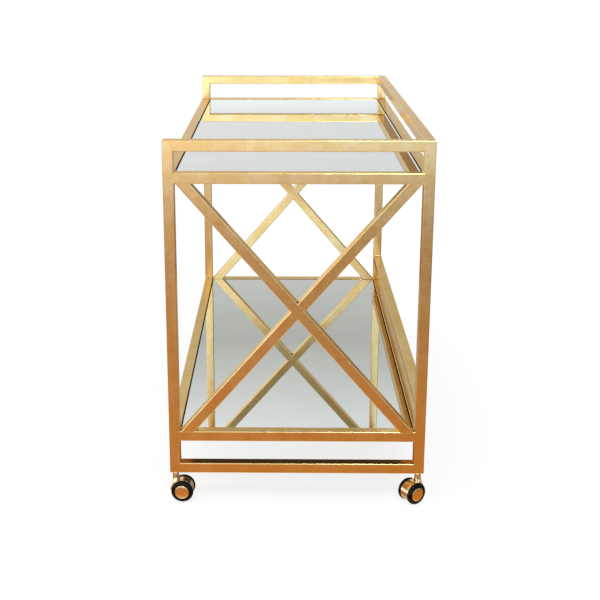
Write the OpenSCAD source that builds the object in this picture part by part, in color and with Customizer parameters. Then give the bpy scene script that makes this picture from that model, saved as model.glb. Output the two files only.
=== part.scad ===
// Bar cart: welded square-tube frame with two inset mirror shelves, crossed end braces,
// an end handle at each end, a gallery rail along the right side, and four twin-wheel casters.
// +Z is up, +Y runs along the cart from its front end to its rear end, +X is its right side.
// The origin is on the floor, at the centre of the footprint.

/* [Frame] */
// Length of the frame, front to rear
frame_length = 1200; // [900:10:1400]
// Width of the frame, left to right
frame_width = 600; // [450:10:700]
// Height of the frame, from the leg bottoms to the handle tops
frame_height = 798; // [700:2:900]
// Side of the square tube
tube_size = 25; // [22:1:30]
// Wall of the square tube
tube_wall = 1.5; // [1:0.1:2]
// Outer corner radius of the square tube
tube_radius = 2; // [2:0.25:3]
// Thickness of the cap welded in the top of each leg
leg_cap = 1.5; // [1:0.5:4]

/* [Levels] */
// Clear gap between a handle rail and the upper shelf rail below it
handle_gap = 47.5; // [40:0.5:90]
// Clear gap below the lower shelf rails, and above them to the lower gallery rail
lower_gap = 57; // [40:1:80]
// Space between each brace end and the leg beside it
brace_inset = 3; // [1:0.5:10]

/* [Shelves] */
// Thickness of the mirror glass
pane_thick = 5; // [4:0.5:6]
// Depth of the mirror face below the rail tops
pane_drop = 2.5; // [1:0.5:4]
// Dark gap between the mirror and the rails around it
pane_gap = 2; // [1:0.25:3]
// Bevel ground along the mirror's top edge
pane_bevel = 0.8; // [0.4:0.1:1.5]
// Thickness of the backing board
board_thick = 3; // [2:0.5:4]
// Thickness of the cushion pads under the board
pad_thick = 1; // [0.5:0.25:2]
// Width of the ledge strips welded inside the rails
ledge_width = 12; // [8:1:20]
// Thickness of the ledge strips
ledge_thick = 3; // [2:0.5:4]

/* [Casters] */
// Height of a caster, from the floor to the leg bottom
caster_height = 72; // [70:1:80]
// Radius of a wheel
wheel_radius = 26.5; // [26:0.5:28]
// Horizontal distance from the swivel axis to the axle
caster_trail = 17; // [16:0.5:19]
// Swivel angle of the front left caster, from +X
front_left_angle = -5; // [-180:1:180]
// Swivel angle of the front right caster, from +X
front_right_angle = -146; // [-180:1:180]

/* [Hidden] */
$fn = 48;

STEEL_GOLD = [0.80, 0.62, 0.36];
BRIGHT_GOLD = [0.86, 0.66, 0.34];
SILVER = [0.84, 0.86, 0.87];
BLACK = [0.06, 0.06, 0.06];
BARE_STEEL = [0.62, 0.62, 0.64];

// Tube centre lines and the planes of the frame.
leg_x = (frame_width - tube_size) / 2;
leg_y = (frame_length - tube_size) / 2;
inner_x = frame_width / 2 - tube_size;
inner_y = frame_length / 2 - tube_size;
frame_top = caster_height + frame_height;
handle_level = frame_top - tube_size / 2;
upper_level = handle_level - handle_gap - tube_size;
bottom_level = caster_height + tube_size / 2;
lower_level = bottom_level + lower_gap + tube_size;
lower_gallery_level = lower_level + lower_gap + tube_size;
inner_radius = max(tube_radius - tube_wall, 0.5);

// A rail end reaches this far past the flat side of its neighbour, to fill its rounded edge.
cope = tube_radius * 0.75;
// Extra length of a cutter past what it cuts.
over = 1;

// The braces fill the rectangle between the shelf rails, from corner to corner.
brace_bottom = lower_level + tube_size / 2;
brace_top = upper_level - tube_size / 2;
brace_rise = brace_top - brace_bottom;
brace_mid = (brace_top + brace_bottom) / 2;
brace_span = 2 * (inner_x - brace_inset);
brace_diagonal = sqrt(pow(brace_span, 2) + pow(brace_rise, 2));
brace_lean = 90 - atan(brace_rise / brace_span) - asin(tube_size / brace_diagonal);

// Shelf stack, downwards from the rail tops.
pane_size = [2 * (inner_x - pane_gap), 2 * (inner_y - pane_gap)];
board_gap = 0.3;
board_size = [2 * (inner_x - board_gap), 2 * (inner_y - board_gap)];
pad_radius = 4;
pads_per_side = 4;
strip_gap = 3;

// Plug in each leg and the caster stem in it.
plug_height = 34;
plug_side = tube_size - 2 * tube_wall;
socket_radius = 5.5;
stem_top = caster_height + 30;
stem_radius = 4;
stem_bottom = 46;
collar_radius = 7;
collar_thick = 0.9;
grip_groove = [stem_top - 8, stem_top - 5];

// Caster body. Running clearances are radial.
swivel_clearance = 0.05;
axle_clearance = 0.05;
axle_radius = 3;
neck_radius = 7.5;
neck_top = caster_height - 1;
drum_radius = wheel_radius - 2;
drum_wall = 2.5;
drum_width = 25;
web_thick = 7;
skirt_level = 6;

// Wheel, measured outwards along the axle from the wheel's inner face.
wheel_gap = 0.4;
wheel_start = drum_width / 2 + wheel_gap;
wheel_width = 9.3;
shoulder_radius = 6.5;
inner_edge = 1.5;
boss_radius = 8;
boss_length = wheel_start - web_thick / 2 - 0.3;
recess_radius = 14;
recess_depth = 2.5;
cap_radius = 16.5;
cap_thick = 1.8;
cap_edge = 0.9;
axle_end_gap = 0.4;
axle_length = 2 * (wheel_start + wheel_width - recess_depth - axle_end_gap);

// Corner name, side along X, end along Y, swivel angle. Opposite corners are turned half round.
CORNERS = [
    ["front_left", -1, -1, front_left_angle],
    ["front_right", 1, -1, front_right_angle],
    ["rear_left", -1, 1, front_right_angle + 180],
    ["rear_right", 1, 1, front_left_angle + 180],
];
CASTER_PARTS = ["stem", "hood", "axle", "wheel_a", "wheel_b", "cap_a", "cap_b"];
FRAME_PARTS = [
    "leg_front_left", "leg_front_right", "leg_rear_left", "leg_rear_right",
    "handle_front", "handle_rear",
    "upper_rail_front", "upper_rail_rear", "upper_rail_left", "upper_rail_right",
    "lower_rail_front", "lower_rail_rear", "lower_rail_left", "lower_rail_right",
    "bottom_rail_front", "bottom_rail_rear",
    "gallery_rail_upper", "gallery_rail_lower",
    "brace_front_full", "brace_front_half_up", "brace_front_half_down",
    "brace_rear_full", "brace_rear_half_up", "brace_rear_half_down",
    "ledge_strips_upper", "ledge_strips_lower", "leg_plugs",
];
SHELF_PARTS = [
    "mirror_upper", "mirror_lower", "backing_board_upper", "backing_board_lower", "cushion_pads",
];

// ---- Square tube ----

// Rectangle with round corners, centred.
module rounded_rect(width, height, radius) {
    square([width - 2 * radius, height], center = true);
    square([width, height - 2 * radius], center = true);
    for (x = [-1, 1], y = [-1, 1])
        translate([x * (width / 2 - radius), y * (height / 2 - radius)])
            circle(r = radius);
}

// Solid bar of the tube's outer section, along Z, centred.
module bar(length) {
    linear_extrude(height = length, center = true)
        rounded_rect(tube_size, tube_size, tube_radius);
}

// The hollow inside a tube, along Z, centred.
module tube_core(length) {
    linear_extrude(height = length, center = true)
        rounded_rect(plug_side, plug_side, inner_radius);
}

// Open-ended tube along Z, centred.
module tube(length) {
    difference() {
        bar(length);
        tube_core(length + 2 * over);
    }
}

module along_x() {
    rotate([0, 90, 0])
        children();
}

module along_y() {
    rotate([90, 0, 0])
        children();
}

// ---- Legs ----

// Outside of a leg: every long edge and every end edge is rounded.
module leg_solid(side, end) {
    translate([side * leg_x, end * leg_y, caster_height + frame_height / 2])
        intersection() {
            bar(frame_height);
            rotate([90, 0, 0])
                linear_extrude(height = 2 * tube_size, center = true)
                    rounded_rect(tube_size, frame_height, tube_radius);
            rotate([90, 0, 90])
                linear_extrude(height = 2 * tube_size, center = true)
                    rounded_rect(tube_size, frame_height, tube_radius);
        }
}

// Leg tube, open at the bottom for its plug and closed at the top.
module leg(side, end) {
    core_length = frame_height - leg_cap + over;
    color(STEEL_GOLD)
        difference() {
            leg_solid(side, end);
            translate([side * leg_x, end * leg_y, caster_height - over + core_length / 2])
                tube_core(core_length);
        }
}

// ---- Rails ----

// Outside of a rail across one end of the cart.
module cross_bar(end, level, length) {
    translate([0, end * leg_y, level])
        along_x()
            bar(length);
}

// Rail across one end, its ends coped onto the two legs.
module cross_rail(end, level) {
    color(STEEL_GOLD)
        difference() {
            translate([0, end * leg_y, level])
                along_x()
                    tube(2 * (inner_x + cope));
            leg_solid(-1, end);
            leg_solid(1, end);
        }
}

// Rail along one side, its ends coped onto the two legs and squared off at the inner corner.
module side_rail(side, level) {
    color(STEEL_GOLD)
        difference() {
            translate([side * leg_x, 0, level])
                along_y()
                    tube(2 * (inner_y + cope));
            for (end = [-1, 1]) {
                leg_solid(side, end);
                translate([side * (inner_x + cope / 2), end * (inner_y + cope / 2 + over / 2), level])
                    cube([cope + 2 * over, cope + over, 2 * tube_size], center = true);
            }
        }
}

// ---- Crossed end braces ----

// Places children on a brace's centre line; lean is +1 for right at the top, -1 for left.
module on_brace(end, lean) {
    translate([0, end * leg_y, brace_mid])
        rotate([0, lean * brace_lean, 0])
            children();
}

// Brace tube from shelf rail to shelf rail, cut level at both ends.
module level_cut_brace(end, lean) {
    difference() {
        intersection() {
            on_brace(end, lean)
                tube(brace_diagonal + 4 * tube_size);
            translate([0, end * leg_y, brace_mid])
                cube([frame_width, 2 * tube_size, brace_rise + 2 * cope], center = true);
        }
        cross_bar(end, upper_level, frame_width);
        cross_bar(end, lower_level, frame_width);
    }
}

// The brace that runs through in one length.
module brace_full(end) {
    color(STEEL_GOLD)
        level_cut_brace(end, -1);
}

// The other brace is two halves, welded to the sides of the full one; half is +1 above, -1 below.
module brace_half(end, half) {
    color(STEEL_GOLD)
        difference() {
            level_cut_brace(end, 1);
            translate([0, end * leg_y, brace_mid - half * brace_rise])
                cube([2 * frame_width, 2 * tube_size, 2 * brace_rise], center = true);
            on_brace(end, -1)
                cube([tube_size - 2 * cope, 2 * tube_size, brace_diagonal], center = true);
            on_brace(end, -1)
                bar(brace_diagonal);
        }
}

// ---- Shelves ----

// Height of the mirror face in a shelf whose rails are centred on level.
function mirror_face(level) = level + tube_size / 2 - pane_drop;
function board_top(level) = mirror_face(level) - pane_thick;
function pad_top(level) = board_top(level) - board_thick;
function ledge_top(level) = pad_top(level) - pad_thick;

// Section of the pane with its two bevelled top edges, top at zero.
module pane_section(width) {
    polygon([
        [-width / 2, -pane_thick],
        [width / 2, -pane_thick],
        [width / 2, -pane_bevel],
        [width / 2 - pane_bevel, 0],
        [-width / 2 + pane_bevel, 0],
        [-width / 2, -pane_bevel],
    ]);
}

// Mirror pane with bevelled top edges.
module mirror_pane(level) {
    color(SILVER)
        translate([0, 0, mirror_face(level)])
            intersection() {
                rotate([90, 0, 0])
                    linear_extrude(height = pane_size[1], center = true)
                        pane_section(pane_size[0]);
                rotate([90, 0, 90])
                    linear_extrude(height = pane_size[0], center = true)
                        pane_section(pane_size[1]);
            }
}

// Black board that fills the opening under the pane.
module backing_board(level) {
    color(BLACK)
        translate([0, 0, board_top(level) - board_thick / 2])
            cube([board_size[0], board_size[1], board_thick], center = true);
}

// Four separate flat strips welded inside the rails, under the board.
module ledge_strips(level) {
    strip_z = ledge_top(level) - ledge_thick / 2;
    cross_length = 2 * (inner_x - ledge_width - strip_gap);
    color(STEEL_GOLD) {
        for (side = [-1, 1])
            translate([side * (inner_x - ledge_width / 2), 0, strip_z])
                cube([ledge_width, 2 * inner_y, ledge_thick], center = true);
        for (end = [-1, 1])
            translate([0, end * (inner_y - ledge_width / 2), strip_z])
                cube([cross_length, ledge_width, ledge_thick], center = true);
    }
}

// Round pads along the ledges of both shelves.
module cushion_pads() {
    pitch = 2 * inner_y / pads_per_side;
    color(BLACK)
        for (level = [upper_level, lower_level], side = [-1, 1], i = [0 : pads_per_side - 1])
            translate([side * (inner_x - ledge_width / 2), (i + 0.5) * pitch - inner_y, ledge_top(level)])
                cylinder(r = pad_radius, h = pad_thick);
}

// ---- Leg plugs ----

// Socket block in the foot of each leg, bored for the caster stem.
module leg_plugs() {
    color(BLACK)
        for (c = CORNERS)
            translate([c[1] * leg_x, c[2] * leg_y, caster_height])
                difference() {
                    translate([0, 0, plug_height / 2])
                        tube_core(plug_height);
                    translate([0, 0, -over])
                        cylinder(r = socket_radius, h = plug_height + 2 * over);
                }
}

// ---- Casters: stem axis on Z, trail along +X, floor at zero ----

module at_corner(c) {
    translate([c[1] * leg_x, c[2] * leg_y, 0])
        rotate([0, 0, c[3]])
            children();
}

// Places children on the axle, with Z running outwards to wheel a (side -1) or wheel b (side +1).
module on_axle(side) {
    translate([caster_trail, 0, wheel_radius])
        rotate([-90 * side, 0, 0])
            children();
}

// Stem fixed in the leg plug, with a collar under the leg and a groove for its grip ring.
module caster_stem() {
    color(BARE_STEEL)
        rotate_extrude()
            polygon([
                [0, stem_bottom],
                [stem_radius - 0.5, stem_bottom],
                [stem_radius, stem_bottom + 0.5],
                [stem_radius, caster_height - collar_thick],
                [collar_radius, caster_height - collar_thick],
                [collar_radius, caster_height],
                [socket_radius, caster_height],
                [socket_radius, grip_groove[0]],
                [socket_radius - 0.8, grip_groove[0]],
                [socket_radius - 0.8, grip_groove[1]],
                [socket_radius, grip_groove[1]],
                [socket_radius, stem_top - 1],
                [socket_radius - 1, stem_top],
                [0, stem_top],
            ]);
}

// Side outline of the hood, with the axle at the origin: drum, back and shoulder under the neck.
module hood_outline() {
    hull() {
        circle(r = drum_radius);
        translate([-caster_trail - 4.5, -6])
            circle(r = 9);
        translate([-caster_trail, 13])
            circle(r = 8);
    }
}

// Hood: a drum open at both sides and below, a middle web that holds the axle, and the swivel neck.
module caster_hood() {
    color(BRIGHT_GOLD)
        difference() {
            union() {
                on_axle(-1)
                    linear_extrude(height = drum_width, center = true)
                        hood_outline();
                translate([0, 0, wheel_radius])
                    cylinder(r = neck_radius, h = neck_top - wheel_radius);
            }
            for (side = [-1, 1])
                on_axle(side)
                    translate([0, 0, web_thick / 2])
                        cylinder(r = drum_radius - drum_wall, h = drum_width);
            on_axle(1)
                cylinder(r = axle_radius, h = 2 * drum_width, center = true);
            translate([0, 0, stem_bottom - 0.5])
                cylinder(r = stem_radius + swivel_clearance, h = caster_height);
            translate([caster_trail, 0, skirt_level - wheel_radius])
                cube(2 * wheel_radius * [2, 1, 1], center = true);
        }
}

// Axle pin, pressed into the web.
module caster_axle() {
    color(BARE_STEEL)
        on_axle(1)
            cylinder(r = axle_radius, h = axle_length, center = true);
}

// Half section of a wheel: radius along X, distance from the wheel's inner face along Y.
module wheel_section() {
    shoulder_x = wheel_radius - shoulder_radius;
    shoulder_y = wheel_width - shoulder_radius;
    difference() {
        union() {
            square([shoulder_x, wheel_width]);
            square([wheel_radius - inner_edge, shoulder_y]);
            translate([0, inner_edge])
                square([wheel_radius, shoulder_y - inner_edge]);
            translate([wheel_radius - inner_edge, inner_edge])
                circle(r = inner_edge);
            intersection() {
                translate([shoulder_x, shoulder_y])
                    circle(r = shoulder_radius);
                translate([0, shoulder_y])
                    square([wheel_radius, wheel_width]);
            }
            translate([0, -boss_length])
                square([boss_radius, boss_length + over]);
        }
        translate([-over, -boss_length - over])
            square([axle_radius + axle_clearance + over, boss_length + wheel_width + 2 * over]);
        translate([-over, wheel_width - recess_depth])
            square([recess_radius + over, recess_depth + over]);
    }
}

// Wheel with its bearing boss inwards and a recess for the cap outwards.
module caster_wheel(side) {
    color(BLACK)
        on_axle(side)
            translate([0, 0, wheel_start])
                rotate_extrude()
                    wheel_section();
}

// Half section of a hub cap: a spigot in the wheel's recess and a flange with a rounded rim.
module cap_section() {
    square([recess_radius, recess_depth]);
    translate([0, recess_depth])
        square([cap_radius, cap_thick - cap_edge]);
    translate([0, recess_depth])
        square([cap_radius - cap_edge, cap_thick]);
    intersection() {
        translate([cap_radius - cap_edge, recess_depth + cap_thick - cap_edge])
            circle(r = cap_edge);
        translate([0, recess_depth + cap_thick - cap_edge])
            square([cap_radius, cap_edge]);
    }
}

// Hub cap pressed into the wheel.
module wheel_cap(side) {
    color(BRIGHT_GOLD)
        on_axle(side)
            translate([0, 0, wheel_start + wheel_width - recess_depth])
                rotate_extrude()
                    cap_section();
}

// ---- Nodes ----

leg(-1, -1);  // leg_front_left
leg(1, -1);  // leg_front_right
leg(-1, 1);  // leg_rear_left
leg(1, 1);  // leg_rear_right
cross_rail(-1, handle_level);  // handle_front
cross_rail(1, handle_level);  // handle_rear
cross_rail(-1, upper_level);  // upper_rail_front
cross_rail(1, upper_level);  // upper_rail_rear
side_rail(-1, upper_level);  // upper_rail_left
side_rail(1, upper_level);  // upper_rail_right
cross_rail(-1, lower_level);  // lower_rail_front
cross_rail(1, lower_level);  // lower_rail_rear
side_rail(-1, lower_level);  // lower_rail_left
side_rail(1, lower_level);  // lower_rail_right
cross_rail(-1, bottom_level);  // bottom_rail_front
cross_rail(1, bottom_level);  // bottom_rail_rear
side_rail(1, handle_level);  // gallery_rail_upper
side_rail(1, lower_gallery_level);  // gallery_rail_lower
brace_full(-1);  // brace_front_full
brace_half(-1, 1);  // brace_front_half_up
brace_half(-1, -1);  // brace_front_half_down
brace_full(1);  // brace_rear_full
brace_half(1, 1);  // brace_rear_half_up
brace_half(1, -1);  // brace_rear_half_down
ledge_strips(upper_level);  // ledge_strips_upper
ledge_strips(lower_level);  // ledge_strips_lower
leg_plugs();
mirror_pane(upper_level);  // mirror_upper
mirror_pane(lower_level);  // mirror_lower
backing_board(upper_level);  // backing_board_upper
backing_board(lower_level);  // backing_board_lower
cushion_pads();
for (c = CORNERS) {
    at_corner(c) caster_stem();
    at_corner(c) caster_hood();
    at_corner(c) caster_axle();
    at_corner(c) caster_wheel(-1);
    at_corner(c) caster_wheel(1);
    at_corner(c) wheel_cap(-1);
    at_corner(c) wheel_cap(1);
}
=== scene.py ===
import math

import bmesh
import bpy
from mathutils import Matrix, Vector, noise


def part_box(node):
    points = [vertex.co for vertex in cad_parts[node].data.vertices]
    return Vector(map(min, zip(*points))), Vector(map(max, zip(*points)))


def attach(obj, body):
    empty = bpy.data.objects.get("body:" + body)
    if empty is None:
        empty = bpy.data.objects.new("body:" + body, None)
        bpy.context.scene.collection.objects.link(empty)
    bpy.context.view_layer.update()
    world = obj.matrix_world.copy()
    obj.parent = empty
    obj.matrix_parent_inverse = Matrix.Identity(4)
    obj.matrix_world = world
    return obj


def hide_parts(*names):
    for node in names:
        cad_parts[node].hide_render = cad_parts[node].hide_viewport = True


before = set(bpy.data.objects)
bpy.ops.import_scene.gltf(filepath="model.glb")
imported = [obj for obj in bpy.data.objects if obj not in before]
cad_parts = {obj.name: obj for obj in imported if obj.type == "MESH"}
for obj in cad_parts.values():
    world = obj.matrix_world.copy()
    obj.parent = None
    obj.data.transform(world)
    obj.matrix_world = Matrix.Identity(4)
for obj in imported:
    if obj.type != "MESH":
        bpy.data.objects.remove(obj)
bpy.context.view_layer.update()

MM = 0.001
CORNERS = ("front_left", "front_right", "rear_left", "rear_right")

# Square tube of the frame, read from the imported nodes.
leg_low, leg_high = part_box("leg_front_right")
TUBE = leg_high.x - leg_low.x
INNER_X = leg_low.x
INNER_Y = -leg_high.y
LEG_X = INNER_X + TUBE / 2
LEG_Y = INNER_Y + TUBE / 2
CORNER_RADIUS = 2 * MM
BRACE_INSET = 3 * MM


# ---- Node helpers ----

class Nodes:
    """A short way to build a node tree: node() adds one and links or sets its inputs."""

    def __init__(self, tree):
        self.tree = tree
        tree.nodes.clear()

    def node(self, kind, inputs=None, **settings):
        made = self.tree.nodes.new(kind)
        for key, value in settings.items():
            setattr(made, key, value)
        for key, value in (inputs or {}).items():
            self.feed(made.inputs[key], value)
        return made

    def feed(self, socket, value):
        if isinstance(value, bpy.types.NodeSocket):
            self.tree.links.new(value, socket)
        elif hasattr(value, "__len__") and len(value) == 3 and socket.type == "RGBA":
            socket.default_value = (*value, 1)
        else:
            socket.default_value = value

    def math(self, operation, *values):
        made = self.tree.nodes.new("ShaderNodeMath")
        made.operation = operation
        for socket, value in zip(made.inputs, values):
            self.feed(socket, value)
        return made.outputs[0]

    def vector(self, operation, *values):
        made = self.tree.nodes.new("ShaderNodeVectorMath")
        made.operation = operation
        for socket, value in zip(made.inputs, values):
            self.feed(socket, value)
        return made.outputs[0]

    def ramp(self, value, low, high, to_low=0.0, to_high=1.0):
        inputs = {"Value": value, "From Min": low, "From Max": high, "To Min": to_low, "To Max": to_high}
        return self.node("ShaderNodeMapRange", inputs, interpolation_type="SMOOTHSTEP").outputs[0]

    def mix(self, factor, a, b, blend="MIX"):
        made = self.node("ShaderNodeMix", data_type="RGBA", blend_type=blend)
        self.feed(made.inputs[0], factor)
        self.feed(made.inputs[6], a)
        self.feed(made.inputs[7], b)
        return made.outputs[2]

    def noise(self, vector, size, detail=3.0, roughness=0.55, distortion=0.0):
        """Noise whose features are about size metres across."""
        inputs = {
            "Vector": vector,
            "Scale": 1 / size,
            "Detail": detail,
            "Roughness": roughness,
            "Distortion": distortion,
        }
        return self.node("ShaderNodeTexNoise", inputs)

    def bump(self, height, depth, normal=None):
        """Normal of a relief that is about depth metres deep."""
        inputs = {"Height": height, "Distance": depth, "Strength": 1.0}
        if normal is not None:
            inputs["Normal"] = normal
        return self.node("ShaderNodeBump", inputs).outputs[0]

    def principled(self, **inputs):
        """The material's shader and its output."""
        shader = self.node("ShaderNodeBsdfPrincipled", {SOCKETS[key]: value for key, value in inputs.items()})
        self.node("ShaderNodeOutputMaterial", {"Surface": shader.outputs[0]})


SOCKETS = {
    "base_color": "Base Color",
    "metallic": "Metallic",
    "roughness": "Roughness",
    "specular_ior_level": "Specular IOR Level",
    "specular_tint": "Specular Tint",
    "normal": "Normal",
}


def new_material(name):
    """A material, its empty node tree, and the coordinates of the piece that it's on."""
    material = bpy.data.materials.new(name)
    material.use_nodes = True
    n = Nodes(material.node_tree)
    return material, n, n.node("ShaderNodeTexCoord").outputs["Object"]


# ---- Gold leaf on the welded frame ----

LEAF = 84 * MM
LEAF_START = (31 * MM, 17 * MM, 45 * MM)
LEAF_TEAR = 6 * MM
LEAF_STRETCH = 0.94
SEAM = 0.9 * MM
MIDDLE = (0.5, 0.5, 0.5)
GOLD_PALE = (0.93, 0.75, 0.40)
GOLD_MID = (0.88, 0.66, 0.28)
GOLD_WARM = (0.84, 0.53, 0.18)
GOLD_GRAZING = (0.82, 0.71, 0.60)
BOLE_RED = (0.42, 0.13, 0.045)


def turned_about_y(n, vector, angle):
    inputs = {"Vector": vector, "Angle": angle}
    return n.node("ShaderNodeVectorRotate", inputs, rotation_type="Y_AXIS").outputs[0]


def leaf_space(n, place, lean):
    """Place and facing of a point, turned by lean to follow a slanted tube."""
    facing = n.node("ShaderNodeNewGeometry").outputs["Normal"]
    if lean:
        place, facing = turned_about_y(n, place, lean), turned_about_y(n, facing, lean)
    return place, n.vector("ABSOLUTE", facing)


def leaf_squares(n, place, facing):
    """Random tone of each square of leaf, and the torn seams between the squares."""
    wander = n.noise(place, 30 * MM, detail=4).outputs["Color"]
    wander = n.vector("MULTIPLY", n.vector("SUBTRACT", wander, MIDDLE), (LEAF_TEAR,) * 3)
    torn = n.vector("ADD", n.vector("ADD", place, wander), LEAF_START)
    squares = n.vector("DIVIDE", torn, (LEAF,) * 3)
    tone = n.node("ShaderNodeTexWhiteNoise", {"Vector": n.vector("FLOOR", squares)}, noise_dimensions="3D")

    # Distance to the nearest edge of a leaf, leaving out edges that lie in the surface itself.
    from_middle = n.vector("ABSOLUTE", n.vector("SUBTRACT", n.vector("FRACTION", squares), MIDDLE))
    to_edge = n.vector("ADD", n.vector("SUBTRACT", MIDDLE, from_middle), facing)
    edges = n.node("ShaderNodeSeparateXYZ", {"Vector": to_edge}).outputs
    nearest = n.math("MINIMUM", n.math("MINIMUM", edges[0], edges[1]), edges[2])
    return tone.outputs["Value"], n.ramp(nearest, 0.0, SEAM / LEAF, 1.0, 0.0)


def tube_corners(n, facing):
    """One on the rounded corners of the tube, where the leaf is rubbed, and zero on its flats."""
    sides = n.node("ShaderNodeSeparateXYZ", {"Vector": facing}).outputs
    flatness = n.math("MAXIMUM", n.math("MAXIMUM", sides[0], sides[1]), sides[2])
    return n.ramp(flatness, 0.80, 0.99, 1.0, 0.0)


def gold_leaf(name, run, lean=0.0):
    """Gold leaf over red bole, laid in squares and burnished along the tube.

    run is the tube's direction as a unit vector; lean turns the pattern to follow a slanted tube.
    """
    material, n, place = new_material(name)
    place, facing = leaf_space(n, place, lean)
    along_tube = n.vector("MULTIPLY", place, tuple(1.0 - LEAF_STRETCH * r for r in run))
    tone, seam = leaf_squares(n, place, facing)
    corner = tube_corners(n, facing)
    cloud = n.noise(place, 50 * MM, detail=3).outputs["Fac"]
    mottle = n.noise(place, 12 * MM, detail=5, roughness=0.6).outputs["Fac"]
    streak = n.noise(along_tube, 2.2 * MM, detail=4, roughness=0.6).outputs["Fac"]
    worn = n.noise(place, 16 * MM, detail=6, roughness=0.68).outputs["Fac"]
    wrinkle = n.noise(place, 14 * MM, detail=3, roughness=0.5, distortion=0.4).outputs["Fac"]

    body = n.mix(n.ramp(cloud, 0.36, 0.66), GOLD_PALE, GOLD_MID)
    body = n.mix(n.ramp(tone, 0.2, 1.0, 0.0, 0.36), body, GOLD_WARM)
    body = n.mix(n.ramp(mottle, 0.46, 0.76, 0.0, 0.40), body, GOLD_WARM)
    body = n.mix(n.ramp(streak, 0.40, 0.70, 0.0, 0.44), body, GOLD_WARM)
    rubbed = n.math("MULTIPLY", n.ramp(worn, 0.53, 0.68), n.math("MULTIPLY_ADD", corner, 0.50, 0.08))
    body = n.mix(n.math("MULTIPLY", seam, n.ramp(worn, 0.42, 0.62, 0.02, 0.28)), body, BOLE_RED)
    body = n.mix(rubbed, body, BOLE_RED)

    satin = n.ramp(mottle, 0.30, 0.75, 0.16, 0.22)
    satin = n.math("ADD", satin, n.ramp(streak, 0.35, 0.70, 0.0, 0.04))
    satin = n.math("ADD", satin, n.math("MULTIPLY_ADD", seam, 0.02, n.math("MULTIPLY", rubbed, 0.08)))
    waves = n.bump(wrinkle, 0.040 * MM)
    relief = n.bump(n.math("MULTIPLY_ADD", seam, 0.3, streak), 0.006 * MM, normal=waves)
    n.principled(
        base_color=body, metallic=1.0, roughness=satin, specular_tint=(*GOLD_GRAZING, 1), normal=relief
    )
    return material


# ---- Casters, shelves and hidden pieces ----

def polished_brass(name, bright, tarnished):
    material, n, place = new_material(name)
    tarnish = n.noise(place, 7 * MM, detail=5, roughness=0.6).outputs["Fac"]
    fine = n.noise(place, 0.8 * MM, detail=3).outputs["Fac"]
    body = n.mix(n.ramp(tarnish, 0.35, 0.75), bright, tarnished)
    gloss = n.ramp(tarnish, 0.30, 0.80, 0.11, 0.22)
    n.principled(base_color=body, metallic=1.0, roughness=gloss, normal=n.bump(fine, 0.02 * MM))
    return material


def mirror_silver(name):
    material, n, place = new_material(name)
    haze = n.noise(place, 160 * MM, detail=4, roughness=0.6).outputs["Fac"]
    dust = n.noise(place, 3 * MM, detail=4, roughness=0.7).outputs["Fac"]
    body = n.mix(n.ramp(haze, 0.3, 0.7), (0.90, 0.93, 0.935), (0.86, 0.89, 0.90))
    film = n.math("MULTIPLY", n.ramp(dust, 0.62, 0.80), 0.05)
    gloss = n.math("ADD", n.ramp(haze, 0.35, 0.75, 0.008, 0.03), film)
    n.principled(base_color=body, metallic=1.0, roughness=gloss)
    return material


def glass_edge(name):
    material, n, place = new_material(name)
    streak = n.noise(place, 12 * MM, detail=4).outputs["Fac"]
    body = n.mix(n.ramp(streak, 0.3, 0.7), (0.10, 0.17, 0.14), (0.16, 0.24, 0.20))
    n.principled(base_color=body, roughness=n.ramp(streak, 0.3, 0.7, 0.06, 0.16), specular_ior_level=0.6)
    return material


def painted_shade_rim(name):
    """The rim of the mirror, black with no shine: painted shade that widens the dark line along the mirror's
    edge.
    """
    material, n, place = new_material(name)
    brushed = n.noise(place, 1.5 * MM, detail=4).outputs["Fac"]
    body = n.mix(brushed, (0.006, 0.006, 0.006), (0.016, 0.015, 0.014))
    n.principled(base_color=body, roughness=n.ramp(brushed, 0.3, 0.7, 0.35, 0.55), specular_ior_level=0.0)
    return material


def mirror_backing(name):
    material, n, place = new_material(name)
    paint = n.noise(place, 20 * MM, detail=5).outputs["Fac"]
    body = n.mix(paint, (0.16, 0.15, 0.15), (0.24, 0.22, 0.21))
    n.principled(base_color=body, roughness=0.6, normal=n.bump(paint, 0.05 * MM))
    return material


def painted_board(name, under_low, under_high, under_stain):
    """Hardboard, painted black on top and on its edges, in another tone underneath; the lower board's dark
    brown tone underneath is painted shade.
    """
    material, n, place = new_material(name)
    fibre = n.noise(n.vector("MULTIPLY", place, (1.0, 0.35, 1.0)), 2.4 * MM, detail=5).outputs["Fac"]
    blotch = n.noise(place, 60 * MM, detail=3).outputs["Fac"]
    paint = n.mix(n.ramp(fibre, 0.35, 0.75), (0.010, 0.010, 0.010), (0.024, 0.023, 0.022))
    under = n.mix(n.ramp(fibre, 0.35, 0.75), under_low, under_high)
    under = n.mix(n.ramp(blotch, 0.4, 0.8, 0.0, 0.4), under, under_stain)
    facing = n.node("ShaderNodeNewGeometry").outputs["Normal"]
    up = n.node("ShaderNodeSeparateXYZ", {"Vector": facing}).outputs["Z"]
    body = n.mix(n.ramp(up, -0.6, -0.4, 1.0, 0.0), paint, under)
    gloss = n.ramp(fibre, 0.3, 0.7, 0.6, 0.8)
    n.principled(base_color=body, roughness=gloss, specular_ior_level=0.12, normal=n.bump(fibre, 0.12 * MM))
    return material


def glossy_black(name):
    """Moulded nylon of the wheels: near black, glossy, with faint scuffs."""
    material, n, place = new_material(name)
    scuff = n.noise(place, 5 * MM, detail=6, roughness=0.7, distortion=0.5).outputs["Fac"]
    fine = n.noise(place, 0.7 * MM, detail=3).outputs["Fac"]
    marks = n.ramp(scuff, 0.56, 0.74)
    body = n.mix(marks, (0.003, 0.003, 0.004), (0.012, 0.011, 0.010))
    gloss = n.math("MULTIPLY_ADD", marks, 0.14, 0.08)
    n.principled(base_color=body, roughness=gloss, specular_ior_level=0.16, normal=n.bump(fine, 0.01 * MM))
    return material


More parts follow.
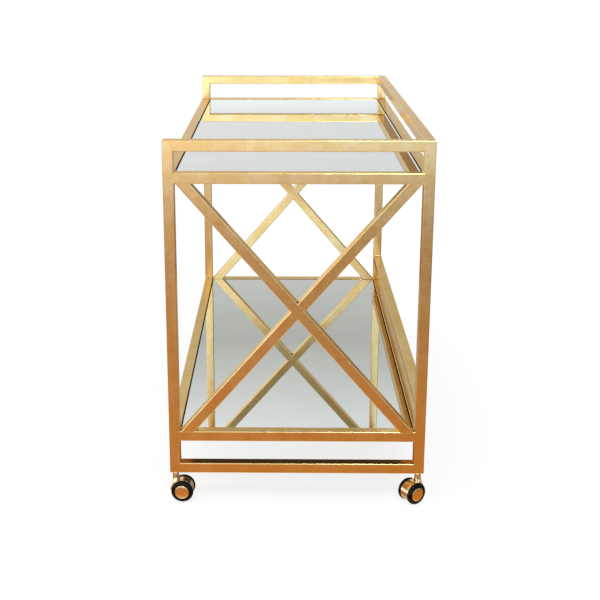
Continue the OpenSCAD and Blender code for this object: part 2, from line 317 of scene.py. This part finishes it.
def soft_black(name, low, high, rough_low, rough_high, grain_size, shine=0.12):
    """Plain moulded plastic or rubber between two tones, and the shineless black of the painted shade in the
    mirrors' gaps.
    """
    material, n, place = new_material(name)
    grain = n.noise(place, grain_size, detail=4, roughness=0.65).outputs["Fac"]
    body = n.mix(n.ramp(grain, 0.3, 0.75), low, high)
    gloss = n.ramp(grain, 0.3, 0.75, rough_low, rough_high)
    grain_normal = n.bump(grain, 0.04 * MM)
    n.principled(base_color=body, roughness=gloss, specular_ior_level=shine, normal=grain_normal)
    return material


def bare_steel(name):
    material, n, place = new_material(name)
    turned = n.noise(n.vector("MULTIPLY", place, (1.0, 1.0, 9.0)), 6 * MM, detail=4).outputs["Fac"]
    stain = n.noise(place, 8 * MM, detail=4).outputs["Fac"]
    body = n.mix(n.ramp(stain, 0.35, 0.75), (0.62, 0.61, 0.60), (0.42, 0.40, 0.38))
    gloss = n.ramp(turned, 0.3, 0.7, 0.20, 0.38)
    n.principled(base_color=body, metallic=1.0, roughness=gloss, normal=n.bump(turned, 0.02 * MM))
    return material


# ---- Mesh helpers ----

def mesh_piece(name, verts, faces, materials, face_material=None, smooth=True):
    """A new object from lists of points and faces, in the row frame."""
    mesh = bpy.data.meshes.new(name)
    mesh.from_pydata([tuple(v) for v in verts], [], faces)
    for material in materials:
        mesh.materials.append(material)
    if face_material:
        mesh.polygons.foreach_set("material_index", face_material)
    bm = bmesh.new()
    bm.from_mesh(mesh)
    bmesh.ops.recalc_face_normals(bm, faces=bm.faces)
    bm.to_mesh(mesh)
    bm.free()
    mesh.polygons.foreach_set("use_smooth", [smooth] * len(mesh.polygons))
    obj = bpy.data.objects.new(name, mesh)
    bpy.context.scene.collection.objects.link(obj)
    return obj


def crease_by_angle(obj, degrees):
    """Keeps edges sharper than this angle crisp in smooth shading."""
    bm = bmesh.new()
    bm.from_mesh(obj.data)
    for edge in bm.edges:
        if len(edge.link_faces) == 2:
            edge.smooth = edge.calc_face_angle() < math.radians(degrees)
    bm.to_mesh(obj.data)
    bm.free()


def loft(rings, caps=True, loop=False):
    """Points and faces of a skin over equal rings of points; loop joins the last ring to the first."""
    count = len(rings[0])
    verts = [Vector(point) for ring in rings for point in ring]
    faces = []
    for i in range(len(rings) if loop else len(rings) - 1):
        here, there = i * count, (i + 1) % len(rings) * count
        for j in range(count):
            k = (j + 1) % count
            faces.append((here + j, here + k, there + k, there + j))
    if caps and not loop:
        faces.append(tuple(range(count)))
        faces.append(tuple(range(len(verts) - count, len(verts))))
    return verts, faces


def arc(centre, radius, start, end, steps):
    """Points of an arc in a plane, from start to end in degrees; radius may be a pair of half axes."""
    wide, tall = radius if hasattr(radius, "__len__") else (radius, radius)
    turns = [math.radians(start + (end - start) * step / steps) for step in range(steps + 1)]
    return [(centre[0] + wide * math.cos(turn), centre[1] + tall * math.sin(turn)) for turn in turns]


# ---- Mirror panes ----

# Order of a pane's finishes. The crease angle is below the rim's slope, which keeps the mirror's face flat.
FACE, RIM, EDGE, BACK = range(4)
PANE_CREASE = 12


def pane_outline(low, high, inset, corner, level):
    """Ring of points round a pane, pulled in by inset, at one level."""
    points = []
    for quarter, (x, y) in enumerate([(high.x, high.y), (low.x, high.y), (low.x, low.y), (high.x, low.y)]):
        side_x, side_y = math.copysign(1, x), math.copysign(1, y)
        centre = (x - side_x * (inset + corner), y - side_y * (inset + corner))
        points += [(*point, level) for point in arc(centre, corner, 90 * quarter, 90 * quarter + 90, 4)]
    return points


def mirror_pane(node, finishes):
    """Glass mirror with a ground rim painted black as shade, and a seamed lower edge."""
    low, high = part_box(node)
    rim, rim_depth, seamed, corner = 1.2 * MM, 0.5 * MM, 0.25 * MM, 0.8 * MM
    steps = [(seamed, low.z), (0, low.z + seamed), (0, high.z - rim_depth), (rim, high.z)]
    rings = [pane_outline(low, high, inset, corner, level) for inset, level in steps]
    round_faces = len(rings[0])
    face_finish = [EDGE] * (2 * round_faces) + [RIM] * round_faces + [BACK, FACE]
    pane = mesh_piece(node + "_pane", *loft(rings), finishes, face_finish)
    crease_by_angle(pane, PANE_CREASE)
    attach(pane, "cart")
    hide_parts(node)


def gap_shade_strip(node, finish):
    """Black strip with no shine that fills the gap between a mirror and the rails, a little below the glass:
    painted shade of the gap.
    """
    low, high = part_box(node)
    bottom, top, dip = low.z, high.z - 0.2 * MM, 0.3 * MM
    rings = []
    for side_x, side_y in ((1, 1), (-1, 1), (-1, -1), (1, -1)):
        outer = (side_x * INNER_X, side_y * INNER_Y)
        inner = (side_x * high.x, side_y * high.y)
        middle = ((outer[0] + inner[0]) / 2, (outer[1] + inner[1]) / 2)
        rings.append([(*outer, bottom), (*outer, top), (*middle, top - dip), (*inner, top), (*inner, bottom)])
    strip = mesh_piece(node + "_sealant", *loft(rings, loop=True), [finish], smooth=False)
    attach(strip, "cart")


# ---- Weld fillets ----

BEAD_REACH = 2.3 * MM
BEAD_STATIONS = 30
BEAD_STEPS = 5
BEAD_BULGE = 0.24
BEAD_ROOT = 0.12
RIPPLE = 2.6 * MM
BEAD_CREASE = 50
FACE_WIDTH = TUBE - 2 * CORNER_RADIUS


def bead(corner, along, side_a, side_b, reach=BEAD_REACH):
    """Rings of one fillet in the corner between two faces; side_a and side_b point away along the faces."""
    rings = []
    for station in range(BEAD_STATIONS + 1):
        t = 2 * station / BEAD_STATIONS - 1
        spot = corner + along * (t * FACE_WIDTH / 2)
        wobble = noise.noise(spot / RIPPLE) * 0.30 + noise.noise(spot / (5 * RIPPLE)) * 0.25
        size = reach * math.sqrt(max(1 - t ** 8, 0.02)) * (1 + wobble)
        curve = []
        for step in range(BEAD_STEPS + 1):
            s = step / BEAD_STEPS
            bulge = 2 * s * (1 - s) * BEAD_BULGE
            curve.append(spot + size * ((1 - s) ** 2 + bulge) * side_a + size * (s ** 2 + bulge) * side_b)
        root = spot - BEAD_ROOT * size * (side_a + side_b)
        rings.append([*curve, root])
    return rings


def frame_levels():
    """Lowest and highest level of each rail of the right side, by name."""
    names = (
        "handle_front", "upper_rail_front", "lower_rail_front", "bottom_rail_front", "gallery_rail_lower",
    )
    return {name: (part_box(name)[0].z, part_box(name)[1].z) for name in names}


def rail_beads(end, levels):
    """Fillets between the rails across one end and the two legs."""
    top_and_bottom = (
        ("handle_front", -1), ("upper_rail_front", 1), ("upper_rail_front", -1),
        ("lower_rail_front", 1), ("lower_rail_front", -1), ("bottom_rail_front", 1),
    )
    for side in (-1, 1):
        for rail, face in top_and_bottom:
            corner = Vector((side * INNER_X, end * LEG_Y, levels[rail][face > 0]))
            yield bead(corner, Vector((0, 1, 0)), Vector((-side, 0, 0)), Vector((0, 0, face)))


def side_rail_beads(side, levels):
    """Fillets between the rails along one side and the two legs, and in the corners of the shelf frames."""
    corners = ["upper_rail_front", "lower_rail_front"]
    faces = [(rail, face) for rail in corners for face in (1, -1)]
    if side > 0:
        faces += [("handle_front", -1), ("gallery_rail_lower", 1), ("gallery_rail_lower", -1)]
        corners.append("handle_front")
    for end in (-1, 1):
        for rail, face in faces:
            corner = Vector((side * LEG_X, end * INNER_Y, levels[rail][face > 0]))
            yield bead(corner, Vector((1, 0, 0)), Vector((0, -end, 0)), Vector((0, 0, face)))
        for rail in corners:
            corner = Vector((side * INNER_X, end * INNER_Y, sum(levels[rail]) / 2))
            yield bead(corner, Vector((0, 0, 1)), Vector((-side, 0, 0)), Vector((0, -end, 0)))


def brace_beads(end, levels):
    """Fillets at the crossing of the braces and where their ends meet the shelf rails."""
    lean = brace_lean(levels)
    bottom, top = levels["lower_rail_front"][1], levels["upper_rail_front"][0]
    middle = Vector((0, end * LEG_Y, (bottom + top) / 2))
    across = Vector((0, 1, 0))
    full = Vector((-math.sin(lean), 0, math.cos(lean)))
    half = Vector((math.sin(lean), 0, math.cos(lean)))
    for a, b in ((full, half), (full, -half), (-full, half), (-full, -half)):
        corner = middle + (a + b) * (TUBE / 2 / math.sin(2 * lean))
        yield bead(corner, across, a, b, 0.4 * BEAD_REACH)
    for brace in (full, half):
        for face, level in ((1, top), (-1, bottom)):
            for side in (-1, 1):
                x = brace.x / brace.z * (level - middle.z) + side * TUBE / 2 / math.cos(lean)
                corner = Vector((x, middle.y, level))
                yield bead(corner, across, Vector((side, 0, 0)), -face * brace, 0.8 * BEAD_REACH)


def brace_lean(levels):
    """Angle of the braces from upright, so that they end beside the legs."""
    rise = levels["upper_rail_front"][0] - levels["lower_rail_front"][1]
    span = 2 * (INNER_X - BRACE_INSET)
    return math.pi / 2 - math.atan(rise / span) - math.asin(TUBE / math.hypot(rise, span))


def weld_piece(name, beads, finish):
    """All the fillets of one end or one side, as one piece on the frame."""
    verts, faces = [], []
    for rings in beads:
        more_verts, more_faces = loft(rings)
        faces += [tuple(i + len(verts) for i in face) for face in more_faces]
        verts += more_verts
    piece = mesh_piece(name, verts, faces, [finish])
    crease_by_angle(piece, BEAD_CREASE)
    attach(piece, "cart")


# ---- Casters: swivel axis at the origin, trail along +X, axle along Y, floor at zero ----

WHEEL_RADIUS = 26.5 * MM
HOOD_TRAIL = 17 * MM
TURN_STEPS = 96
NECK_STEPS = 64
CASTER_CREASE = 32


def turned(profile, place):
    """Skin of a closed profile of (radius, distance along the axis) turned once; place maps it into 3-D."""
    rings = []
    for step in range(TURN_STEPS):
        angle = 2 * math.pi * step / TURN_STEPS
        rings.append([place(radius, along, angle) for radius, along in profile])
    return loft(rings, loop=True)


def on_axle(trail, side):
    """Maps a turned profile onto the axle of a caster; side is -1 for wheel a and +1 for wheel b."""
    def place(radius, along, angle):
        return (trail + radius * math.cos(angle), side * along, WHEEL_RADIUS + radius * math.sin(angle))
    return place


def scaled(points):
    """A profile drawn in millimetres, in metres."""
    return [(x * MM, y * MM) for x, y in points]


def wheel_profile():
    """Wheel with a bearing boss, a crowned tread, a grooved round shoulder and a recess for its cap."""
    return scaled([
        (3.05, 3.8), (7.6, 3.8), (8.0, 4.2), (8.0, 12.2), (8.7, 12.9),
        *arc((25.0, 14.4), 1.5, -90, 0, 6),
        *arc((20.0, 15.7), 6.5, 0, 34, 6),
        (25.15, 19.45), (24.75, 19.35), (24.35, 19.95),
        *arc((20.0, 15.7), 6.5, 48, 84, 7),
        (20.0, 22.2), (18.2, 22.2), (17.9, 21.9), (17.2, 21.9), (16.9, 22.2),
        (14.1, 22.2), (14.0, 22.1), (14.0, 19.7), (3.05, 19.7),
    ])


def cap_profile():
    """Hub cap: a shallow dome with a round rim, and a spigot in the wheel."""
    return scaled([
        (0, 24.0), (3, 23.96), (6, 23.85), (9, 23.66), (11.5, 23.44), (13.4, 23.22), (14.6, 23.0),
        *arc((14.9, 22.2), (1.6, 0.72), 78, 0, 6),
        (16.4, 22.2), (14.02, 22.2), (13.95, 22.1), (13.95, 19.72), (0, 19.72),
    ])


def hood_ring(inset, across):
    """Side outline of the hood: drum, heel and shoulder under the neck, pulled in by inset."""
    trail = HOOD_TRAIL / MM
    discs = [((0, 0), 24.5), ((-trail - 4.0, 3), 8.2), ((-trail, 13), 8)]
    ring = []
    for step in range(TURN_STEPS):
        angle = 2 * math.pi * step / TURN_STEPS
        way = (math.cos(angle), math.sin(angle))
        (x, z), radius = max(discs, key=lambda disc: disc[0][0] * way[0] + disc[0][1] * way[1] + disc[1])
        reach = radius - inset
        out, up = (x + reach * way[0]) * MM, (z + reach * way[1]) * MM
        ring.append((HOOD_TRAIL + out, across * MM, WHEEL_RADIUS + up))
    return ring


def hood_barrel():
    """Barrel of the hood with round rims and two shallow turned lines, as rings across its width."""
    half_width, rim_radius = 12.5, 1.4
    rim = [(rim_radius - y, half_width - rim_radius + x) for x, y in arc((0, 0), rim_radius, 90, 0, 5)]
    line = [(0, 9.2), (0.22, 9.0), (0.22, 8.7), (0, 8.5)]
    half = [(inset, across) for inset, across in reversed(rim)] + line
    rings = half + [(inset, -across) for inset, across in reversed(half)]
    return loft([hood_ring(inset, across) for inset, across in rings])


def hood_neck():
    """Neck of the hood: round under the leg, widening into the barrel.

    Each station is its level, its half widths along and across, and how square it is.
    """
    stations = [
        (71.0, 6.9, 6.9, 2), (70.8, 7.3, 7.3, 2), (70.3, 7.5, 7.5, 2), (62, 7.5, 7.5, 2), (57, 7.55, 7.8, 2),
        (53, 7.7, 8.4, 2.1), (50, 7.85, 9.3, 2.3), (47.8, 7.95, 10.4, 2.6), (46, 8.0, 11.4, 3.0),
        (44.5, 8.0, 12.1, 3.4), (42, 8.0, 12.3, 3.6), (34, 7.6, 12.0, 3.6),
    ]
    rings = []
    for level, half_x, half_y, square in stations:
        ring = []
        for step in range(NECK_STEPS):
            angle = 2 * math.pi * step / NECK_STEPS
            c, s = math.cos(angle), math.sin(angle)
            fit = (abs(c) ** square + abs(s) ** square) ** (-1 / square)
            ring.append((half_x * MM * fit * c, half_y * MM * fit * s, level * MM))
        rings.append(ring)
    return loft(rings)


def cut(obj, tools, operation):
    """Applies a boolean of each tool to obj, and removes the tools."""
    for tool in tools:
        change = obj.modifiers.new("cut", "BOOLEAN")
        change.operation = operation
        change.solver = "EXACT"
        change.object = tool
        bpy.context.view_layer.update()
        made = bpy.data.meshes.new_from_object(obj.evaluated_get(bpy.context.evaluated_depsgraph_get()))
        obj.modifiers.clear()
        obj.data = made
        bpy.data.objects.remove(tool)


def rod(name, start, end, radius):
    """Round cutter along Y or Z."""
    axis = (Vector(end) - Vector(start)).normalized()
    side = Vector((1, 0, 0))
    other = axis.cross(side)
    rings = []
    for centre in (Vector(start), Vector(end)):
        turns = [2 * math.pi * step / TURN_STEPS for step in range(TURN_STEPS)]
        rings.append([centre + radius * (math.cos(t) * side + math.sin(t) * other) for t in turns])
    return mesh_piece(name, *loft(rings), [])


def hood_cutters():
    """Solids that open the hood for the wheels, the axle, the stem and the floor side."""
    web, wide, skirt, reach = 3.5 * MM, 30 * MM, 6 * MM, 60 * MM
    tools = []
    for side in (-1, 1):
        pocket_ends = [(HOOD_TRAIL, side * across, WHEEL_RADIUS) for across in (web, wide)]
        tools.append(rod("pocket", *pocket_ends, 22 * MM))
    axle_ends = ((HOOD_TRAIL, -wide, WHEEL_RADIUS), (HOOD_TRAIL, wide, WHEEL_RADIUS))
    tools.append(rod("axle_hole", *axle_ends, 3 * MM))
    tools.append(rod("stem_hole", (0, 0, 45.5 * MM), (0, 0, 90 * MM), 4.05 * MM))
    square = [(-reach, -reach), (reach, -reach), (reach, reach), (-reach, reach)]
    slab = [[(x, y, level) for x, y in square] for level in (skirt - reach, skirt)]
    tools.append(mesh_piece("floor_cut", *loft(slab), []))
    return tools


def hood_mesh(finish):
    """The whole hood, as one mesh that all four casters share."""
    hood = mesh_piece("hood_pattern", *hood_barrel(), [finish])
    neck = mesh_piece("hood_neck", *hood_neck(), [finish])
    cut(hood, [neck], "UNION")
    cut(hood, hood_cutters(), "DIFFERENCE")
    crease_by_angle(hood, CASTER_CREASE)
    mesh = hood.data
    bpy.data.objects.remove(hood)
    return mesh


def caster_pieces(corner, hood, black, brass):
    """Finer hood, wheels and caps for one caster, in place of its CAD nodes."""
    stem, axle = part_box(f"caster_{corner}_stem"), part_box(f"caster_{corner}_axle")
    pivot = (stem[0] + stem[1]) / 2
    arm = (axle[0] + axle[1]) / 2 - pivot
    trail = math.hypot(arm.x, arm.y)
    stand = Matrix.Translation((pivot.x, pivot.y, 0)) @ Matrix.Rotation(math.atan2(arm.y, arm.x), 4, "Z")

    body = bpy.data.objects.new(f"{corner}_hood", hood.copy())
    bpy.context.scene.collection.objects.link(body)
    made = [(body, f"swivel_{corner}", "caster_brass", f"caster_{corner}_hood")]
    for letter, side in (("a", -1), ("b", 1)):
        place = on_axle(trail, side)
        wheel = mesh_piece(f"{corner}_wheel_{letter}", *turned(wheel_profile(), place), [black])
        cap = mesh_piece(f"{corner}_cap_{letter}", *turned(cap_profile(), place), [brass])
        made.append((wheel, f"wheel_{letter}_{corner}", "wheel_black", f"caster_{corner}_wheel_{letter}"))
        made.append((cap, f"wheel_{letter}_{corner}", "caster_brass", f"caster_{corner}_cap_{letter}"))
    for piece, rides_on, slot, node in made:
        piece.data.transform(stand)
        merge_points(piece)
        crease_by_angle(piece, CASTER_CREASE)
        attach(piece, rides_on)
        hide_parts(node)


def merge_points(obj):
    """Joins points that coincide, such as those on a lathe's axis, and turns all faces outward."""
    bm = bmesh.new()
    bm.from_mesh(obj.data)
    bmesh.ops.remove_doubles(bm, verts=bm.verts, dist=0.002 * MM)
    bmesh.ops.recalc_face_normals(bm, faces=bm.faces)
    bm.to_mesh(obj.data)
    bm.free()


# ---- Camera, floor and light ----

CAMERA_PLACE = (-0.034, -2.851, 1.277)
CAMERA_DOWN = math.radians(14.58)
CAMERA_TURN = math.radians(0.64)
CAMERA_SENSOR = 36
CAMERA_LENS = 62.9
CAMERA_SHIFT = (0.047, -0.1333)


def make_camera():
    """Camera at the height, distance and angle of the photograph's."""
    data = bpy.data.cameras.new("camera")
    data.sensor_width = CAMERA_SENSOR
    data.lens = CAMERA_LENS
    data.shift_x, data.shift_y = CAMERA_SHIFT
    camera = bpy.data.objects.new("camera", data)
    camera.location = CAMERA_PLACE
    camera.rotation_euler = (math.pi / 2 - CAMERA_DOWN, 0, CAMERA_TURN)
    bpy.context.scene.collection.objects.link(camera)
    bpy.context.scene.camera = camera


# The studio as the metal sees it, in front of the cart and behind it: degrees above the horizon, and the
# light from there. The paper underfoot is white, and past its edge the room's floor is warm and dim.
STUDIO_FRONT = [
    (-90, (0.95, 0.940, 0.930)),
    (-62, (0.95, 0.930, 0.900)),
    (-50, (1.02, 0.960, 0.840)),
    (-42, (0.72, 0.470, 0.260)),
    (-36, (0.60, 0.280, 0.100)),
    (-27, (0.61, 0.265, 0.088)),
    (-23.5, (0.53, 0.262, 0.125)),
    (-20, (0.51, 0.295, 0.165)),
    (-17.5, (0.51, 0.300, 0.180)),
    (-14.5, (0.30, 0.185, 0.115)),
    (-11, (0.80, 0.660, 0.680)),
    (-8.5, (1.20, 1.120, 1.300)),
    (-6.5, (2.50, 2.550, 2.900)),
    (-4, (3.20, 3.200, 3.200)),
    (-1, (2.30, 2.320, 2.400)),
    (2, (1.50, 1.530, 1.600)),
    (8, (1.40, 1.430, 1.480)),
    (14, (1.30, 1.340, 1.400)),
    (19, (1.38, 1.410, 1.480)),
    (24, (0.95, 0.980, 1.000)),
    (45, (0.75, 0.760, 0.770)),
    (90, (0.90, 0.900, 0.900)),
]
STUDIO_BACK = [
    (-90, (0.95, 0.940, 0.930)),
    (-62, (0.90, 0.860, 0.800)),
    (-50, (0.75, 0.600, 0.420)),
    (-42, (0.48, 0.260, 0.120)),
    (-36, (0.38, 0.180, 0.080)),
    (-24, (0.32, 0.150, 0.070)),
    (-15, (0.36, 0.200, 0.110)),
    (-9, (0.58, 0.520, 0.400)),
    (-6.5, (0.64, 0.700, 0.720)),
    (-3, (1.00, 1.070, 1.150)),
    (2, (1.05, 1.110, 1.180)),
    (5.5, (1.35, 1.420, 1.480)),
    (7.5, (1.00, 1.060, 1.100)),
    (9, (0.77, 0.780, 0.790)),
    (13, (0.74, 0.750, 0.755)),
    (17, (0.61, 0.610, 0.590)),
    (21, (0.47, 0.470, 0.445)),
    (26, (0.79, 0.795, 0.795)),
    (45, (0.86, 0.865, 0.870)),
    (90, (0.90, 0.900, 0.900)),
]
STUDIO_PEAK = 3.2
FRONT_TINT_LOW, FRONT_TINT_HIGH = (0.96, 0.90, 0.66), (0.64, 0.79, 0.90)
BACK_TINT_LEFT, BACK_TINT_RIGHT = (1.03, 1.02, 0.99), (0.97, 0.98, 0.96)
DOORWAY_LOW, DOORWAY_HIGH = (0.26, 0.15, 0.07), (0.52, 0.49, 0.34)
WALL_DARK = (0.055, 0.045, 0.035)
WINDOW_LIGHT = (0.40, 0.39, 0.37)
FLOOR_GLOW = 0.82
FLOOR_REACH = 40.0


def studio_ramp(n, share, table):
    """The light of one table at a height; share runs from 0 straight down to 1 straight up."""
    ramp = n.node("ShaderNodeValToRGB", {"Fac": share})
    stops = ramp.color_ramp.elements
    while len(stops) < len(table):
        stops.new(0.5)
    for stop, (degrees, light) in zip(stops, table):
        stop.position = 0.5 + 0.5 * math.sin(math.radians(degrees))
        stop.color = (*[c / STUDIO_PEAK for c in light], 1)
    return ramp.outputs["Color"]


def studio_ends(n, axes):
    """The light in front of the cart and behind it, each tinted from left to right."""
    share = n.math("MULTIPLY_ADD", axes["Z"], 0.5, 0.5)
    front = studio_ramp(n, share, STUDIO_FRONT)
    back = studio_ramp(n, share, STUDIO_BACK)
    # The right side of the room in front is dimmer: cool above, warm where the floor is seen.
    right_tint = n.mix(n.ramp(axes["Z"], -0.39, -0.31), FRONT_TINT_LOW, FRONT_TINT_HIGH)
    front = n.mix(n.ramp(axes["X"], -0.16, 0.20), front, n.mix(1.0, front, right_tint, "MULTIPLY"))
    back_tint = n.mix(n.ramp(axes["X"], -0.12, 0.14), BACK_TINT_LEFT, BACK_TINT_RIGHT)
    back = n.mix(1.0, back, back_tint, "MULTIPLY")
    return n.mix(n.ramp(axes["Y"], -0.3, 0.4), front, back)


def studio_doorway(n, axes, light):
    """Adds a brown doorway far behind on the right, at the height of the horizon."""
    level = n.ramp(n.math("ABSOLUTE", n.math("ADD", axes["Z"], 0.05)), 0.10, 0.20, 1.0, 0.0)
    right = n.math("MULTIPLY", n.ramp(axes["X"], 0.06, 0.22), n.ramp(axes["Y"], 0.5, 0.9))
    doorway = n.mix(n.ramp(axes["Z"], -0.17, 0.0), DOORWAY_LOW, DOORWAY_HIGH)
    doorway = n.mix(1.0, doorway, (1 / STUDIO_PEAK,) * 3, "MULTIPLY")
    return n.mix(n.math("MULTIPLY", level, right), light, doorway)


def studio_sides(n, axes, light):
    """Adds windows on the left and a dark wall on the right, above the level of the shelves."""
    above = n.ramp(axes["Z"], -0.24, 0.02)
    wall = n.math("MULTIPLY", n.ramp(axes["X"], 0.35, 0.70), above)
    window = n.math("MULTIPLY", n.ramp(axes["X"], -0.70, -0.35, 1.0, 0.0), above)
    light = n.mix(n.math("MULTIPLY", wall, 0.85), light, WALL_DARK)
    return n.mix(n.math("MULTIPLY", window, 0.7), light, WINDOW_LIGHT)


def make_world():
    """White to the camera; the metal and the floor see a soft studio."""
    world = bpy.data.worlds.new("studio")
    world.use_nodes = True
    bpy.context.scene.world = world
    n = Nodes(world.node_tree)
    way = n.node("ShaderNodeTexCoord").outputs["Generated"]
    axes = n.node("ShaderNodeSeparateXYZ", {"Vector": way}).outputs
    light = studio_sides(n, axes, studio_doorway(n, axes, studio_ends(n, axes)))
    studio = n.node("ShaderNodeBackground", {"Color": light, "Strength": STUDIO_PEAK})
    paper = n.node("ShaderNodeBackground", {"Color": (1, 1, 1), "Strength": 1.0})
    seen = n.node("ShaderNodeLightPath").outputs["Is Camera Ray"]
    both = n.node("ShaderNodeMixShader", {0: seen, 1: studio.outputs[0], 2: paper.outputs[0]})
    n.node("ShaderNodeOutputWorld", {"Surface": both.outputs[0]})


def make_floor():
    """White paper, lit from under itself enough to keep the shadows light."""
    material, n, place = new_material("studio_floor")
    cloud = n.noise(place, 0.9, detail=3).outputs["Fac"]
    body = n.mix(cloud, (0.90, 0.90, 0.90), (0.92, 0.92, 0.92))
    paper = n.node("ShaderNodeBsdfDiffuse", {"Color": body})
    glow = n.node("ShaderNodeEmission", {"Color": (1, 1, 1), "Strength": 1.0})
    both = n.node("ShaderNodeMixShader", {0: FLOOR_GLOW, 1: paper.outputs[0], 2: glow.outputs[0]})
    n.node("ShaderNodeOutputMaterial", {"Surface": both.outputs[0]})
    reach = FLOOR_REACH
    corners = [(-reach, -reach, 0), (reach, -reach, 0), (reach, reach, 0), (-reach, reach, 0)]
    floor = mesh_piece("floor", corners, [(0, 1, 2, 3)], [material], smooth=False)
    floor.visible_glossy = False


def aim(obj, target):
    obj.rotation_euler = (Vector(target) - obj.location).to_track_quat("-Z", "Y").to_euler()


def softbox(name, place, target, size, power, colour=(1, 1, 1), mirrored=False):
    """A soft lamp; the mirrors and the gold reflect it only if it is mirrored."""
    data = bpy.data.lights.new(name, "AREA")
    data.shape = "RECTANGLE"
    data.size, data.size_y = size
    data.energy = power
    data.color = colour
    lamp = bpy.data.objects.new(name, data)
    lamp.location = place
    bpy.context.scene.collection.objects.link(lamp)
    aim(lamp, target)
    lamp.visible_camera = False
    lamp.visible_glossy = mirrored


def make_lights():
    """Three soft lamps aimed at the middle of the cart, and a soft sun for the paper."""
    centre = (0, 0, 0.5)
    softbox("key_left", (-3.0, -1.9, 2.2), centre, (1.6, 1.6), 25, (1.0, 0.98, 0.95))
    softbox("key_front", (0.6, -2.6, 3.4), centre, (0.8, 0.6), 40, mirrored=True)
    softbox("fill_rear", (1.6, 3.2, 2.6), centre, (1.6, 1.2), 20)
    data = bpy.data.lights.new("floor_light", "SUN")
    data.energy = 1.1
    data.angle = math.radians(50)
    sun = bpy.data.objects.new("floor_light", data)
    sun.rotation_euler = (math.radians(8), math.radians(-6), 0)
    sun.visible_glossy = False
    bpy.context.scene.collection.objects.link(sun)


# ---- Build ----

def give(node, material):
    """Puts one finish on the whole of a CAD node."""
    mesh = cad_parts[node].data
    mesh.materials.clear()
    mesh.materials.append(material)


make_camera()
make_world()
make_floor()
make_lights()
bpy.context.scene.view_settings.view_transform = "Standard"

levels = frame_levels()
lean = brace_lean(levels)
ALONG_X, ALONG_Y, ALONG_Z = (1, 0, 0), (0, 1, 0), (0, 0, 1)
leaf_cross = gold_leaf("gold_leaf_cross", ALONG_X)
leaf_side = gold_leaf("gold_leaf_side", ALONG_Y)
leaf_upright = gold_leaf("gold_leaf_upright", ALONG_Z)
leaf_full = gold_leaf("gold_leaf_full_brace", ALONG_Z, lean)
leaf_half = gold_leaf("gold_leaf_half_brace", ALONG_Z, -lean)
brass = polished_brass("polished_brass", (0.94, 0.69, 0.34), (0.84, 0.50, 0.19))
# Painted reflection: the hoods get a paler copy of the brass, lighter to stand for the bright cream
# reflections on their barrels.
hood_brass_painted_sheen = polished_brass("hood_brass_painted_sheen", (0.99, 0.84, 0.56), (0.95, 0.70, 0.38))
silver = mirror_silver("mirror_silver")
# Painted shade: the mirrors' ground rims are black with no shine, so that they darken the line along each
# mirror's edge.
rim = painted_shade_rim("rim_painted_shade")
edge = glass_edge("glass_edge")
backing = mirror_backing("mirror_backing")
board_upper = painted_board("board_upper", (0.36, 0.35, 0.33), (0.42, 0.41, 0.39), (0.30, 0.29, 0.26))
# Painted shade: the lower board's underside is dark brown for the shade that the cart casts on the floor
# beneath it.
board_lower = painted_board(
    "board_lower", (0.030, 0.020, 0.012), (0.055, 0.038, 0.022), (0.070, 0.050, 0.032)
)
black = glossy_black("wheel_black")
plug = soft_black("plug_plastic", (0.010, 0.010, 0.010), (0.030, 0.030, 0.030), 0.35, 0.55, 3 * MM)
rubber = soft_black("pad_rubber", (0.018, 0.017, 0.016), (0.045, 0.042, 0.040), 0.6, 0.85, 1.5 * MM)
# Painted shade: black with no shine, for the strip that keeps the gap round each mirror dark.
gap_shade_finish = soft_black(
    "gap_shade_black", (0.006, 0.005, 0.005), (0.014, 0.012, 0.011), 0.5, 0.7, 4 * MM, shine=0.0
)
steel = bare_steel("bare_steel")

# The first part of a node's name that fits says its finish.
FINISHES = [
    ("_full", leaf_full),
    ("_half", leaf_half),
    ("leg_plugs", plug),
    ("leg_", leaf_upright),
    ("cushion_pads", rubber),
    ("backing_board_upper", board_upper),
    ("backing_board_lower", board_lower),
    ("mirror", silver),
    ("_stem", steel),
    ("_axle", steel),
    ("_wheel", black),
    ("_cap", brass),
    ("_hood", hood_brass_painted_sheen),
    ("_left", leaf_side),
    ("_right", leaf_side),
    ("gallery", leaf_side),
    ("ledge", leaf_side),
    ("", leaf_cross),
]
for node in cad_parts:
    give(node, next(finish for part, finish in FINISHES if part in node))

for node in ("mirror_upper", "mirror_lower"):
    mirror_pane(node, [silver, rim, edge, backing])
    gap_shade_strip(node, gap_shade_finish)
for name, end in (("front", -1), ("rear", 1)):
    weld_piece("weld_fillets_" + name, [*rail_beads(end, levels), *brace_beads(end, levels)], leaf_cross)
for name, side in (("left", -1), ("right", 1)):
    weld_piece("weld_fillets_" + name, [*side_rail_beads(side, levels)], leaf_side)

hood = hood_mesh(hood_brass_painted_sheen)
for corner in CORNERS:
    caster_pieces(corner, hood, black, brass)
